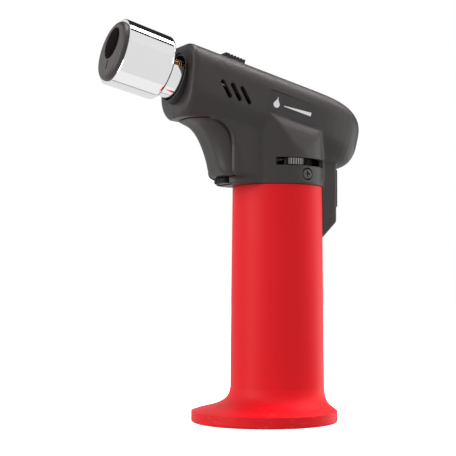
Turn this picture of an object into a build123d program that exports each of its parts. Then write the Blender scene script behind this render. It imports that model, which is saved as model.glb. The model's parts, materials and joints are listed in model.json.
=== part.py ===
"""Hand-held butane torch: a red handle on a wide foot, a tilted dark head and a plated burner barrel.

Millimetres. Z is up. The origin is on the handle's axis, on the plane the foot stands on.
The burner points to -X and rises by HEAD_TILT. The head's own pieces are drawn lying level, the
burner's axis along the local X with the outlet at -X, and head() then tips them into place.
"""

from build123d import *
from math import cos, radians, sin, sqrt
import os

os.makedirs("parts", exist_ok=True)

# Fits
RUN = 0.06  # radial gap of a shaft or slider that runs in its guide
APART = 0.35  # gap between pieces that move past each other without guiding
SNUG = 0.05  # radial gap of a screw in its core hole
SEAM = 0.05  # half the line between the two housing halves
WALL = 2.0  # thickness of the moulded housing

# Handle and foot
HANDLE_TOP_Z = 98.5
HANDLE_TOP_R = 19.0
HANDLE_LOW_R = HANDLE_TOP_R + 0.85
HANDLE_WALL = 1.8
HANDLE_BORE_R = HANDLE_TOP_R - HANDLE_WALL
FOOT_R = 30.7
FOOT_X = -6.3  # the foot reaches further forward, under the overhanging barrel
FOOT_EDGE = 4.6
BASE_DEEP = 2.6
BASE_R = FOOT_R - 3.0
# The flare's shape: height above the foot's edge, share of the way from the grip out to the foot
FLARE = ((0, 1.0), (0.35, 0.93), (1.1, 0.76), (2.2, 0.47), (3.6, 0.25), (5.4, 0.1), (7.4, 0.03), (9.6, 0))

# Head, drawn level
HEAD_TILT = 13.9
HEAD_Z = HANDLE_TOP_Z + 32.7  # height of the barrel's axis above the handle's axis
HEAD_TOP = 12.4
HEAD_LOW = -18.9
HEAD_MIDDLE = -3.0
NOSE_X = -49.1
NOSE_LEAN = 9.4  # the nose's face leans forward at its top
NOSE_HALF = 15.5
NOSE_EDGE = 2.4
CHIN_EDGE = 4.0
STRAIGHT_FROM = -35.0
BACK_HALF = 14.2
BACK_START = 13.0
BACK_END = 40.4
CORNER_TOP = 9.0
CORNER_LOW = 13.0

# Neck of the housing
COLLAR_R = HANDLE_TOP_R + 0.5
COLLAR_Z = HANDLE_TOP_Z + 0.1
CREASE = -5.9  # the neck's shoulder meets the head's side here, in the head's level frame
SHOULDER_LOW = -18.5
COLUMN_X = -27.8
COLUMN_FOOT_X = -23.7
COLUMN_HALF = 12.6
COLUMN_TOP = HEAD_Z - 5.7
SPINE_HALF = 8.0
SPINE_X = COLLAR_R + 5.9
SPINE_LOW = HANDLE_TOP_Z - 21.5
SPINE_TOP = HEAD_Z - 17.2
SPINE_CUT = 7.2
PAD_LOW = HANDLE_TOP_Z - 7.7
PAD_TOP = HANDLE_TOP_Z + 8.5

# Burner
BURNER_UP = 2.9  # the burner tube lies this far above the barrel's axis
BARREL_X = -77.3
BARREL_LENGTH = 21.2
BARREL_R = 13.7
BARREL_TAPER = 0.35
BARREL_WALL = 1.0
BARREL_SOFT = 1.5
INSERT_PROUD = 1.9
INSERT_EDGE = 1.8
OUTLET_R = 6.6
FLAME_WALL = 1.0
FLAME_R = OUTLET_R + FLAME_WALL
FLAME_BACK = -61.0
BURNER_R = 2.6
THREAD_R = 3.0
NECK_R = 9.0
MOUTH_R = 10.6
MOUTH_UP = -1.8  # the mouth and the neck lie this far below the barrel's axis
MOUTH_DEPTH = 4.3
SPARK_UP = BURNER_UP - 4.7
LEAD_JOIN = -45.4

# Trigger and lock
TRIGGER_TRAVEL = 5.0
TRIGGER_HALF = COLUMN_HALF - WALL - APART
TRIGGER_LOW = HANDLE_TOP_Z + 3.2
TRIGGER_TOP = HEAD_Z - 6.7
TRIGGER_BACK = -23.3
TRIGGER_ROUND = 7.0
POCKET_X = -27.4
PUSH_HALF = 7.4
SPRING_R = 1.7
SPRING_Y = 6.0
SPRING_Z = HANDLE_TOP_Z + 12.5
SPRING_SEAT = TRIGGER_BACK + TRIGGER_TRAVEL + APART + 0.05
LOCK_TRAVEL = 1.5
LOCK_X = -28.1
LOCK_HALF = 4.0
LOCK_LOW = HANDLE_TOP_Z + 0.5
LOCK_TOP = TRIGGER_LOW - APART
TONGUE_HALF = 2.6
TONGUE_LOW = LOCK_LOW + 0.9
TONGUE_TOP = LOCK_LOW + 1.7

# Side slot of the flame adjuster, as angles about the handle's axis
SLOT_Z = HANDLE_TOP_Z + 7.8
SLOT_H = 3.3
SLOT_FROM = -121.5
SLOT_TO = -33.0
TAB_ANGLE = -97.0
TAB_SPAN = 19.0

# Gas works
TANK_R = HANDLE_BORE_R - 0.5
TANK_LOW = 4.8
TANK_FLOOR = 5.8
TANK_WALL = 1.6
TANK_TOP = HANDLE_TOP_Z - 6.5
CAP_H = 4.0
CAP_TOP = TANK_TOP + CAP_H
LUG_FAR = TANK_R - 1.3
VALVE_R = 4.5
VALVE_NECK_R = 3.9
VALVE_TIP_R = 2.9
VALVE_LOW = TANK_TOP - 6.0
VALVE_NECK_Z = CAP_TOP + 2.6
CHAMBER_TOP = CAP_TOP + 3.0
NIPPLE_Z = CAP_TOP + 6.0
STEM_R = 1.2
STEM_FLANGE_Z = VALVE_LOW + 4.0
RING_Z = SLOT_Z + APART
RING_H = SLOT_H - 2 * APART
CLIP_TOP = RING_Z + RING_H + 1.0
ROCKER_X = -10.0
ROCKER_Z = HANDLE_TOP_Z + 13.7
ROCKER_ARM = 7.6
FORK_TOP = ROCKER_Z + 1.7
PIN_R = 1.0
PIEZO_LOW = ROCKER_Z + 5.4
PIEZO_SIDE = 9.0
PIEZO_FRONT = -14.0
PIEZO_BACK = 10.0
PLUNGER_HALF = 3.6
FILL_R = 3.5
FILL_TOP = 11.6
SEAL_LOW = FILL_TOP - 1.9

# Air control on the ridge
BUTTON_TRAVEL = 2.5  # backwards; the sleeve starts at its forward stop
BUTTON_SEAT = HEAD_TOP - WALL - APART
BUTTON_X0 = -33.8
BUTTON_X1 = -22.2
BUTTON_HALF = 4.6
BUTTON_FOOT_X = -33.0
STEM_X0 = -31.2
STEM_X1 = -26.2

# Openings in the head's sides, in the head's level frame
LABEL = (-13.3, 12.0, -5.4, 3.7)
LABEL_SEAT = -BACK_HALF + 0.1
VENTS = ((-32.8, -3.1), (-28.1, -2.9), (-23.5, -2.8))

# Screws
SCREW_R = 1.2
SCREW_HEAD_R = 2.2
SCREW_LENGTH = 5.0
BASE_SCREW_LENGTH = 6.4
BOSS_R = 3.4
COLLAR_SCREW_X = 3.4
COLLAR_SCREW_Z = HANDLE_TOP_Z + 4.4


def head(shape):
    """Tips a piece drawn level into the head's place."""
    return Pos(0, 0, HEAD_Z) * Rot(0, HEAD_TILT, 0) * shape


def block(x0, x1, y0, y1, z0, z1):
    """Box from its limits."""
    return Pos((x0 + x1) / 2, (y0 + y1) / 2, (z0 + z1) / 2) * Box(x1 - x0, y1 - y0, z1 - z0)


def post(r, z0, z1, x=0.0, y=0.0):
    """Upright cylinder."""
    return Pos(x, y, (z0 + z1) / 2) * Cylinder(r, z1 - z0)


def rod_x(r, x0, x1, y=0.0, z=0.0):
    """Cylinder along X."""
    return Pos((x0 + x1) / 2, y, z) * Rot(0, 90, 0) * Cylinder(r, x1 - x0)


def rod_y(r, y0, y1, x=0.0, z=0.0):
    """Cylinder along Y."""
    return Pos(x, (y0 + y1) / 2, z) * Rot(90, 0, 0) * Cylinder(r, y1 - y0)


def pipe_x(r_out, r_in, x0, x1, y=0.0, z=0.0):
    """Tube along X."""
    return rod_x(r_out, x0, x1, y, z) - rod_x(r_in, x0 - 1, x1 + 1, y, z)


def side_plate(points, half, radii=None):
    """Outline in X and Z, thickened to both sides of the middle plane."""
    outline = make_face(Polyline(*[(x, z) for x, z in points], close=True))
    if radii:
        for (x, z), r in radii.items():
            corner = min(outline.vertices(), key=lambda v: (v.X - x) ** 2 + (v.Y - z) ** 2)
            outline = fillet(corner, r)
    upright = Plane(origin=(0, 0, 0), x_dir=(1, 0, 0), z_dir=(0, -1, 0))
    return extrude(upright * outline, amount=half, both=True)


def plan_section(z, front, back, half, r):
    """Level section with its two front corners rounded and its back square."""
    corners = ((front, -half), (back, -half), (back, half), (front, half))
    outline = make_face(Polyline(*corners, close=True))
    return Pos(0, 0, z) * fillet(outline.vertices().sort_by(Axis.X)[:2], r)


def coil(radius, wire, length, turns):
    """Compression spring from z = 0 up."""
    pitch = (length - wire) / turns
    path = Helix(pitch=pitch, height=length - wire, radius=radius)
    start = path @ 0
    along = path % 0
    section = Plane(origin=start, z_dir=along) * Circle(wire / 2)
    return Pos(0, 0, wire / 2) * sweep(section, path=path)


# ---------------------------------------------------------------- handle and tank


def handle_shell():
    """Red moulded handle: a slightly tapered grip that flares into the wide foot."""
    rings = []
    for rise, share in FLARE:
        r = HANDLE_LOW_R + (FOOT_R - HANDLE_LOW_R) * share
        rings.append(Pos(FOOT_X * share, 0, FOOT_EDGE + rise) * Circle(r))
    skirt = loft(rings)
    foot = Pos(FOOT_X, 0, FOOT_EDGE / 2) * Cylinder(FOOT_R, FOOT_EDGE)
    foot = fillet(foot.edges().sort_by(Axis.Z)[0], 1.0)
    low = FOOT_EDGE + FLARE[-1][0]
    length = HANDLE_TOP_Z - low
    draft = taper_angle(HANDLE_LOW_R - HANDLE_TOP_R, length)
    grip = Pos(0, 0, low) * extrude(Circle(HANDLE_LOW_R), amount=length, taper=draft)
    body = foot + skirt + grip
    body -= post(HANDLE_BORE_R, BASE_DEEP - 1, HANDLE_TOP_Z + 1)
    body -= post(BASE_R, -1, BASE_DEEP, x=FOOT_X)
    return body


def taper_angle(run, rise):
    """Draft angle of a grip that narrows by run over rise."""
    return Vector(rise, run, 0).get_angle(Vector(1, 0, 0))


def base_screw_places():
    """Three screws of the base plate, round the filling valve."""
    return [(11.5 * cos(radians(a)), 11.5 * sin(radians(a))) for a in (60, 180, 300)]


def base_plate():
    """Black plate that closes the foot, with the filling hole in the handle's axis."""
    plate = Pos(FOOT_X, 0, (BASE_DEEP + 0.3) / 2) * Cylinder(BASE_R - 0.1, BASE_DEEP - 0.3)
    plate -= post(4.6, 0, BASE_DEEP + 1)
    for x, y in base_screw_places():
        plate -= post(SCREW_R + 0.15, 0, BASE_DEEP + 1, x, y)
        plate -= post(SCREW_HEAD_R + 0.2, 0, 1.2, x, y)
    for n in range(3):
        ring = post(BASE_R - 3.5 - 2.2 * n, 0, 0.7, x=FOOT_X) - post(BASE_R - 4.3 - 2.2 * n, -1, 1, x=FOOT_X)
        plate -= ring
    return plate


def screw(length):
    """Cross-recess screw standing on its head's rim: head below z = 0, shank above."""
    pan = Pos(0, 0, -0.75) * Cylinder(SCREW_HEAD_R, 1.5)
    pan = fillet(pan.edges().sort_by(Axis.Z)[0], 0.6)
    body = pan + post(SCREW_R, 0, length)
    body = chamfer(body.edges().sort_by(Axis.Z)[-1], 0.5)
    for turn in (0, 90):
        body -= Pos(0, 0, -1.1) * Rot(0, 0, turn) * Box(2.4, 0.6, 1.2)
    return body


def base_screws():
    """The three identical screws that hold the plate to the tank."""
    places = base_screw_places()
    return Compound([Pos(x, y, 1.2) * base_screw() for x, y in places])


def base_screw():
    """One short screw, its head sunk in the plate."""
    pan = Pos(0, 0, -0.4) * Cylinder(SCREW_HEAD_R, 0.8)
    body = pan + post(SCREW_R, 0, BASE_SCREW_LENGTH)
    for turn in (0, 90):
        body -= Pos(0, 0, -0.7) * Rot(0, 0, turn) * Box(2.4, 0.6, 0.5)
    return body


def fuel_tank():
    """Gas tank: a deep cup with a thick floor for the filling valve and the screws."""
    inside = TANK_LOW + TANK_FLOOR
    cup = post(TANK_R, TANK_LOW, TANK_TOP) - post(TANK_R - TANK_WALL, inside, TANK_TOP + 1)
    cup += post(TANK_R, 2.7, TANK_LOW) - post(TANK_R - 1.4, 2, TANK_LOW)
    for x, y in base_screw_places():
        cup += post(3.0, 2.7, TANK_LOW, x, y)
        cup -= post(SCREW_R + SNUG, 2, 2.0 + BASE_SCREW_LENGTH, x, y)
    cup -= post(FILL_R, 2, inside + 1)
    return cup


def tank_cap():
    """Lid of the tank with the valve seat and the two posts that carry the rocker's pin."""
    plug_r = TANK_R - TANK_WALL
    cap = post(TANK_R, TANK_TOP, CAP_TOP)
    cap += post(plug_r - 0.1, TANK_TOP - 4, TANK_TOP)
    cap -= post(plug_r + 0.1, TANK_TOP - 3.0, TANK_TOP - 1.4) - post(plug_r - 1.1, 0, CAP_TOP)
    for side in (-1, 1):
        near, far = sorted((side * 5.0, side * 8.0))
        cap += block(ROCKER_X - 2.5, ROCKER_X + 2.5, near, far, CAP_TOP, ROCKER_Z + 2.4)
        near, far = sorted((side * 11.0, side * LUG_FAR))
        lug = block(COLLAR_SCREW_X - 3.6, COLLAR_SCREW_X + 3.6, near, far, CAP_TOP, COLLAR_SCREW_Z + 3.1)
        cap += lug & post(TANK_R, 0, HEAD_Z)
        near, far = sorted((side * 10, side * 20))
        cap -= rod_y(SCREW_R + SNUG, near, far, COLLAR_SCREW_X, COLLAR_SCREW_Z)
    cap -= rod_y(PIN_R + RUN, -9, 9, ROCKER_X, ROCKER_Z)
    cap -= post(VALVE_R, 0, HEAD_Z)
    return cap


def tank_ring():
    """Rubber seal between the lid's plug and the tank's wall."""
    r = TANK_R - TANK_WALL
    return post(r, TANK_TOP - 2.9, TANK_TOP - 1.5) - post(r - 1.0, TANK_TOP - 3.5, TANK_TOP)


def fill_valve_body():
    """Brass filling valve pressed into the tank's floor."""
    body = post(FILL_R, 1.0, FILL_TOP) + post(FILL_R + 0.8, 2.0, 2.7)
    body -= post(2.4, 2.2, FILL_TOP - 1.0)
    body -= post(1.3, 0, 3)
    body -= post(0.7, FILL_TOP - 1.5, FILL_TOP + 1)
    return body


def fill_valve_seal():
    """Rubber washer under the top of the filling valve."""
    return post(2.3, SEAL_LOW, SEAL_LOW + 0.8) - post(0.9, SEAL_LOW - 1, SEAL_LOW + 2)


def fill_valve_stem():
    """Hollow stem the gas can's nozzle pushes up."""
    stem = post(1.3 - RUN, 0.8, 4.0) + post(2.1, 2.6, 3.4)
    stem -= post(0.5, 0, 3.0)
    return stem


def fill_valve_spring():
    """Spring that shuts the filling valve."""
    start = 3.5
    return Pos(0, 0, start) * coil(1.6, 0.45, SEAL_LOW - 0.1 - start, 5)


def dip_tube():
    """Tube that draws the gas from low in the tank."""
    return post(1.6, FILL_TOP + 2.4, VALVE_LOW) - post(1.0, FILL_TOP, VALVE_LOW + 1)


# ---------------------------------------------------------------- gas valve


def gas_valve_body():
    """Brass outlet valve screwed into the tank's lid, with a stepped neck for the adjuster."""
    body = post(VALVE_R, VALVE_LOW, VALVE_NECK_Z)
    body += post(VALVE_R + 2.3, CAP_TOP, VALVE_NECK_Z - 0.6)
    body += post(VALVE_NECK_R, VALVE_NECK_Z, RING_Z - APART)
    body += post(VALVE_TIP_R, RING_Z - APART, CLIP_TOP + 0.4)
    body += rod_x(1.6, 0, 8.4, z=NIPPLE_Z)
    body -= rod_x(0.8, 2.6, 9, z=NIPPLE_Z)
    body -= post(2.6, VALVE_LOW + 1.4, CHAMBER_TOP)
    body -= post(STEM_R + RUN, CHAMBER_TOP - 1, CLIP_TOP + 2)
    body -= post(0.8, VALVE_LOW - 1, VALVE_LOW + 2)
    return body


def valve_stem():
    """Stem that opens the gas when the rocker lifts its head."""
    neck = FORK_TOP + 0.5
    stem = post(STEM_R, STEM_FLANGE_Z - 0.6, neck) + post(2.5, neck, neck + 1.0)
    stem += post(2.3, STEM_FLANGE_Z, STEM_FLANGE_Z + 0.8)
    return chamfer(stem.edges().sort_by(Axis.Z)[-1], 0.3)


def valve_spring():
    """Spring that holds the stem shut."""
    start = STEM_FLANGE_Z + 0.9
    return Pos(0, 0, start) * coil(1.9, 0.5, CHAMBER_TOP - 0.1 - start, 6)


def gas_adjuster():
    """Ring on the valve's neck whose ribbed tab shows in the side slot."""
    z0 = RING_Z
    z1 = RING_Z + RING_H
    inside_r = COLLAR_R - WALL - APART
    tab_r = COLLAR_R + 0.2
    half_span = TAB_SPAN / 2
    ring = post(6.4, z0, z1) - post(VALVE_TIP_R + RUN, 0, HEAD_Z)
    arm = block(5.0, inside_r, -2.0, 2.0, z0, z1)
    shoe = sector(inside_r, inside_r - 1.3, -half_span - 4, half_span + 4, z0, z1)
    tab = sector(tab_r, inside_r - 0.6, -half_span, half_span, z0, z1)
    grooves = 6
    for n in range(grooves):
        angle = -half_span + TAB_SPAN * (n + 0.5) / grooves
        tab -= Rot(0, 0, angle) * (Pos(tab_r, 0, (z0 + z1) / 2) * Box(0.9, 0.5, RING_H + 2))
    return Rot(0, 0, TAB_ANGLE) * (ring + arm + shoe + tab)


def adjuster_clip():
    """Snap ring that keeps the adjuster on the neck."""
    return post(4.1, RING_Z + RING_H + APART, CLIP_TOP) - post(VALVE_TIP_R, 0, HEAD_Z)


def sector(r_out, r_in, a0, a1, z0, z1):
    """Part of an upright ring between two angles."""
    ring = post(r_out, z0, z1) - post(r_in, z0 - 1, z1 + 1)
    steps = max(2, int((a1 - a0) / 20) + 1)
    reach = r_out * 1.6
    fan = [(0.0, 0.0)]
    for n in range(steps + 1):
        a = radians(a0 + (a1 - a0) * n / steps)
        fan.append((reach * cos(a), reach * sin(a)))
    wedge = extrude(make_face(Polyline(*fan, close=True)), amount=z1 - z0 + 2)
    return ring & (Pos(0, 0, z0 - 1) * wedge)


def gas_rocker():
    """Bell-crank: the trigger pushes its lower arm and the fork lifts the stem."""
    hub = rod_y(2.1, -4.4, 4.4, ROCKER_X, ROCKER_Z)
    pin = rod_y(PIN_R, -8.2, 8.2, ROCKER_X, ROCKER_Z)
    down = block(ROCKER_X - 4.0, ROCKER_X - 2.4, -3.4, 3.4, ROCKER_Z - ROCKER_ARM, ROCKER_Z)
    bridge = block(ROCKER_X - 4.0, ROCKER_X, -3.4, 3.4, ROCKER_Z - 1.4, ROCKER_Z + 1.4)
    fork = block(ROCKER_X, 2.8, -3.4, 3.4, FORK_TOP - 1.6, FORK_TOP)
    fork -= block(-2.6, 3.5, -1.7, 1.7, FORK_TOP - 3, FORK_TOP + 1)
    return hub + pin + down + bridge + fork


# ---------------------------------------------------------------- ignition


def piezo_body():
    """Piezo igniter body, with the contact on its back end."""
    half = PIEZO_SIDE / 2
    mid = PIEZO_LOW + half
    body = block(PIEZO_FRONT, PIEZO_BACK, -half, half, PIEZO_LOW, PIEZO_LOW + PIEZO_SIDE)
    body = fillet(body.edges().filter_by(Axis.X), 1.0)
    way = (-PLUNGER_HALF, PLUNGER_HALF, mid - PLUNGER_HALF, mid + PLUNGER_HALF)
    body -= block(PIEZO_FRONT - 1, PIEZO_FRONT + 9.0, *way)
    body += post(1.1, PIEZO_LOW + PIEZO_SIDE, PIEZO_LOW + PIEZO_SIDE + 1.2, x=-6.0, y=3.0)
    return body


def piezo_plunger():
    """Hammer slide of the igniter, pressed by the trigger."""
    mid = PIEZO_LOW + PIEZO_SIDE / 2
    half = PLUNGER_HALF - RUN
    body = block(PIEZO_FRONT - 5.6, PIEZO_FRONT + 3.0, -half, half, mid - half, mid + half)
    return fillet(body.edges().filter_by(Axis.X), 0.5)


def ignition_lead():
    """Insulated wire from the igniter's contact to the spark electrode."""
    contact_z = PIEZO_LOW + PIEZO_SIDE + 1.2
    start = (-6.0, 3.0, contact_z)
    rise = (-6.0, 3.0, contact_z + 3.4)
    bend = head(Vertex(-29.0, 1.5, SPARK_UP - 3.9)).center()
    lead_in = head(Vertex(LEAD_JOIN + 3.0, 0.0, SPARK_UP)).center()
    end = head(Vertex(LEAD_JOIN, 0.0, SPARK_UP)).center()
    path = FilletPolyline(start, rise, tuple(bend), tuple(lead_in), tuple(end), radius=2.2)
    return sweep(Plane(origin=path @ 0, z_dir=path % 0) * Circle(0.9), path=path)


def spark_insulator():
    """Ceramic sleeve that carries the electrode into the burner."""
    return head(pipe_x(1.3, 0.45, FLAME_BACK - 3.0, LEAD_JOIN - 0.8, z=SPARK_UP))


def electrode():
    """Steel wire whose bent tip sparks inside the burner."""
    turn = FLAME_BACK - 7.0
    path = FilletPolyline(
        (LEAD_JOIN, 0, SPARK_UP), (turn, 0, SPARK_UP), (turn - 2.2, 0, SPARK_UP + 2.3), radius=0.9
    )
    return head(sweep(Plane(origin=path @ 0, z_dir=path % 0) * Circle(0.4), path=path))


# ---------------------------------------------------------------- burner


def barrel_radius(x):
    """The barrel narrows a little towards the housing."""
    return BARREL_R - BARREL_TAPER * (x - BARREL_X) / BARREL_LENGTH


def flame_guard():
    """Plated barrel round the burner."""
    back = BARREL_X + BARREL_LENGTH
    r0 = barrel_radius(BARREL_X)
    r1 = barrel_radius(back)
    soft = BARREL_SOFT
    inner = r1 - BARREL_WALL
    profile = Polyline(
        (BARREL_X, inner),
        (BARREL_X, r0 - 0.25),
        (BARREL_X + 0.25, r0),
        (back - soft, r1 + BARREL_TAPER * soft / BARREL_LENGTH),
    )
    middle = (back - 0.29 * soft, r1 - 0.29 * soft)
    bow = ThreePointArc((back - soft, profile.end_point().Y), middle, (back, r1 - soft))
    hole = NECK_R - MOUTH_UP + 0.1
    end = back - BARREL_WALL
    rest = Polyline((back, r1 - soft), (back, hole), (end, hole), (end, inner), (BARREL_X, inner))
    face = make_face(Curve() + [profile, bow, rest])
    upright = Plane(origin=(0, 0, 0), x_dir=(1, 0, 0), z_dir=(0, -1, 0))
    return head(revolve(upright * face, axis=Axis.X))


def insert_radius():
    """The insert fills the barrel's mouth."""
    return barrel_radius(BARREL_X + BARREL_LENGTH) - BARREL_WALL


def nose_insert():
    """Dark heat-proof plug in the barrel with the off-centre flame outlet and the notch below it."""
    front = BARREL_X - INSERT_PROUD
    plug = rod_x(insert_radius(), front, BARREL_X + 9.0)
    plug = fillet(plug.edges().sort_by(Axis.X)[0], INSERT_EDGE)
    plug -= rod_x(OUTLET_R, front - 1, BARREL_X + 10, z=BURNER_UP)
    plug -= rod_x(FLAME_R, BARREL_X + 3.0, BARREL_X + 10, z=BURNER_UP)
    notch_top = BURNER_UP - OUTLET_R - 0.7
    plug -= block(front - 1, BARREL_X + 1.5, -0.45, 0.45, notch_top - 3.6, notch_top)
    return head(plug)


def flame_tube():
    """Steel tube behind the outlet in which the gas burns."""
    tube = pipe_x(FLAME_R, OUTLET_R, BARREL_X + 3.0, FLAME_BACK, z=BURNER_UP)
    back = rod_x(FLAME_R, FLAME_BACK, FLAME_BACK + 1, z=BURNER_UP)
    back -= rod_x(THREAD_R, FLAME_BACK - 1, FLAME_BACK + 2, z=BURNER_UP)
    back -= rod_x(1.3, FLAME_BACK - 1, FLAME_BACK + 2, z=SPARK_UP)
    return head(tube + back)


def burner_tube():
    """Threaded brass tube that brings gas and air to the flame tube."""
    tube = rod_x(BURNER_R, -61.5, -29.0, z=BURNER_UP)
    tube += rod_x(THREAD_R, -61.5, -58.6, z=BURNER_UP)
    pitch = 1.0
    for n in range(14):
        tube += rod_x(THREAD_R, -58.0 + n * pitch, -57.5 + n * pitch, z=BURNER_UP)
    tube += rod_x(THREAD_R, -43.8, -29.0, z=BURNER_UP)
    tube -= rod_x(1.7, -62, -30.5, z=BURNER_UP)
    tube -= rod_x(1.0, -31, -28, z=BURNER_UP)
    tube -= rod_y(0.9, -4, 4, -35.0, BURNER_UP)
    return head(tube)


def gas_jet():
    """Small brass jet screwed into the back of the burner tube."""
    jet = rod_x(1.0, -30.9, -29.0, z=BURNER_UP) + rod_x(2.4, -29.0, -25.0, z=BURNER_UP)
    jet += rod_x(1.5, -25.0, -21.0, z=BURNER_UP)
    jet -= rod_x(0.6, -26.0, -20.0, z=BURNER_UP)
    jet -= rod_x(0.2, -32.0, -25.0, z=BURNER_UP)
    return head(jet)


def gas_tube():
    """Soft tube from the valve's side nipple, up behind the igniter, to the jet."""
    behind = PIEZO_BACK + 4.6
    drop = behind / cos(radians(HEAD_TILT))
    top = head(Vertex(drop, 0, BURNER_UP)).center()
    end = head(Vertex(-23.0, 0, BURNER_UP)).center()
    path = FilletPolyline((5.4, 0, NIPPLE_Z), (behind, 0, NIPPLE_Z), tuple(top), tuple(end), radius=4.5)
    ring = Circle(2.3) - Circle(1.6)
    return sweep(Plane(origin=path @ 0, z_dir=path % 0) * ring, path=path)


def neck_trough():
    """Plated half-pipe that joins the barrel to the housing, open above the burner tube."""
    back = -44.6
    front = BARREL_X + BARREL_LENGTH - BARREL_WALL
    trough = pipe_x(NECK_R, NECK_R - 0.8, front, back, z=MOUTH_UP)
    trough -= block(front - 1, back + 1, -12, 12, 1.0, 12)
    return head(trough)


def mouth_ring():
    """Black ring that finishes the mouth of the head and stands proud of the chin."""
    front = NOSE_X - 0.9
    ring = pipe_x(MOUTH_R, MOUTH_R - 1.0, front, NOSE_X + MOUTH_DEPTH - 0.1, z=MOUTH_UP)
    ring &= block(front - 1, NOSE_X + 6, -20, 20, -20, 9)
    return head(ring)


def air_collar():
    """Sleeve over the burner tube's air holes."""
    ring = pipe_x(4.3, THREAD_R + RUN, -38.5, -31.5, z=BURNER_UP)
    ring += block(-36.5, BUTTON_FOOT_X, -1.2, 1.2, BURNER_UP + 4.0, BUTTON_SEAT)
    return head(ring)


def air_slider():
    """Sliding button on the ridge that moves the air sleeve."""
    top = HEAD_TOP + 2.6
    low = HEAD_TOP + APART
    outline = [(BUTTON_X0, low), (BUTTON_X0 + 2.2, top), (BUTTON_X1, top - 0.2), (BUTTON_X1, low)]
    cap = side_plate(outline, BUTTON_HALF)
    for n in range(5):
        x = BUTTON_X0 + 4.2 + 1.5 * n
        cap -= block(x, x + 0.6, -BUTTON_HALF - 1, BUTTON_HALF + 1, top - 0.5, top + 1)
    foot = block(BUTTON_FOOT_X, -25.0, -2.6, 2.6, BUTTON_SEAT - 1.4, BUTTON_SEAT)
    stem = block(STEM_X0, STEM_X1, -1.2, 1.2, BUTTON_SEAT - 1.0, low + 0.6)
    return head(cap + foot + stem)


# ---------------------------------------------------------------- trigger and lock


def trigger_section(z, front, half):
    """Level section of the trigger: round towards the finger, square at the back."""
    r = min(TRIGGER_ROUND, half - 1.0, 0.9 * (TRIGGER_BACK - front))
    return plan_section(z, front, TRIGGER_BACK, half, r)


def trigger():
    """Finger trigger: the rounded front, hollow behind, and the two arms that drive the works."""
    low = TRIGGER_LOW
    h = TRIGGER_HALF
    sections = (
        (low, -27.3, h - 1.2),
        (low + 0.7, -28.9, h - 0.4),
        (low + 1.9, -29.9, h - 0.1),
        (low + 5.2, -31.2, h),
        (low + 9.2, -32.4, h),
        (low + 13.6, -34.2, h),
        (low + 16.8, -36.0, h),
        (low + 19.3, -38.0, h),
        (low + 21.2, -40.6, h),
        (TRIGGER_TOP, -44.4, h),
    )
    body = loft([trigger_section(*section) for section in sections])
    body -= block(POCKET_X, TRIGGER_BACK + 1, 1.8 - h, h - 1.8, low + 1.6, TRIGGER_TOP - 1.4)
    arm_x = POCKET_X - 1
    body += block(arm_x, PIEZO_FRONT - 5.9, -PUSH_HALF, PUSH_HALF, PIEZO_LOW - 1.6, PIEZO_LOW + 5.8)
    foot = ROCKER_Z - ROCKER_ARM
    body += block(arm_x, ROCKER_X - 3.7 - TRIGGER_TRAVEL, -3.4, 3.4, foot - 0.2, foot + 1.4)
    body += block(arm_x, TRIGGER_BACK - 0.7, -3.4, 3.4, foot, PIEZO_LOW)
    for side in (-1, 1):
        body -= rod_x(SPRING_R + 0.7, POCKET_X - 1.2, POCKET_X + 1, side * SPRING_Y, SPRING_Z)
    return body


def trigger_springs():
    """Two springs that push the trigger out again."""
    start = POCKET_X - 1.2
    spring = coil(SPRING_R, 0.5, SPRING_SEAT - start, 6)
    return Compound([Pos(start, side * SPRING_Y, SPRING_Z) * Rot(0, 90, 0) * spring for side in (-1, 1)])


def safety_lock():
    """Cross-slide under the trigger, ribbed for the fingertip."""
    grip = block(LOCK_X, COLUMN_FOOT_X - APART, -LOCK_HALF, LOCK_HALF, LOCK_LOW, LOCK_TOP)
    grip = fillet(grip.edges().filter_by(Axis.Y).group_by(Axis.X)[0], 0.6)
    ribs = 6
    for n in range(ribs):
        y = LOCK_HALF * (2 * n + 1 - ribs) / ribs
        grip -= block(LOCK_X - 1, LOCK_X + 0.6, y - 0.4, y + 0.4, LOCK_LOW - 1, LOCK_TOP + 1)
    tongue = block(COLUMN_FOOT_X - 1, COLUMN_FOOT_X + 3.0, -TONGUE_HALF, TONGUE_HALF, TONGUE_LOW, TONGUE_TOP)
    return grip + tongue


# ---------------------------------------------------------------- housing


def drawn_in(depth, radius):
    """How far a rounded end has drawn in at this depth behind its face."""
    if depth >= radius:
        return 0.0
    return radius - sqrt(radius**2 - (radius - depth) ** 2)


def closing(x, power):
    """Share of the full section left at x, falling to nothing at the back end."""
    if x <= BACK_START:
        return 1.0
    u = (x - BACK_START) / (BACK_END - BACK_START)
    return (1 - u**power) ** (1 / power)


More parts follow.
